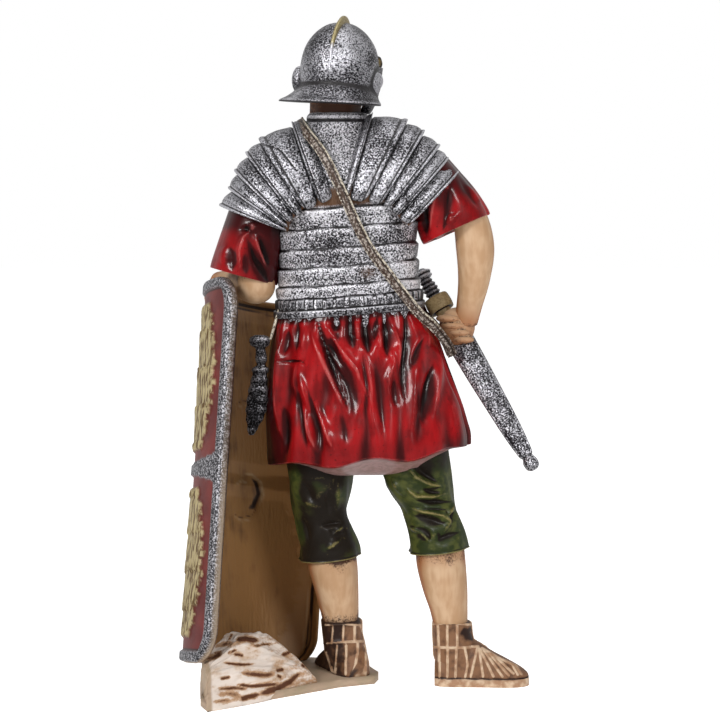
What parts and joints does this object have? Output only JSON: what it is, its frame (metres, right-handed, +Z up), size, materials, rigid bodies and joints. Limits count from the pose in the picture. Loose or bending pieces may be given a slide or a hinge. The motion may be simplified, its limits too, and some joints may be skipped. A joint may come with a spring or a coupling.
{
  "type": "roman soldier statue",
  "caption": "Painted resin figurine of a Roman legionary in banded armour and red tunic, one arm over a curved shield that stands on a rock.",
  "frame": {"origin": "centre of the bounding box's underside, on the surface that the soles and the rock stand on", "axes": "+Z up, +Y the way that the soldier's chest faces, +X to the soldier's right"},
  "size_m": [0.0534, 0.0424, 0.1003],
  "materials": {
    "painted_resin": "hand-painted, glossy red and green cloth, metallic silver armour, matt skin and rock"
  },
  "bodies": {
    "root": {"roman_soldier": "painted_resin"}
  },
  "joints": []
}
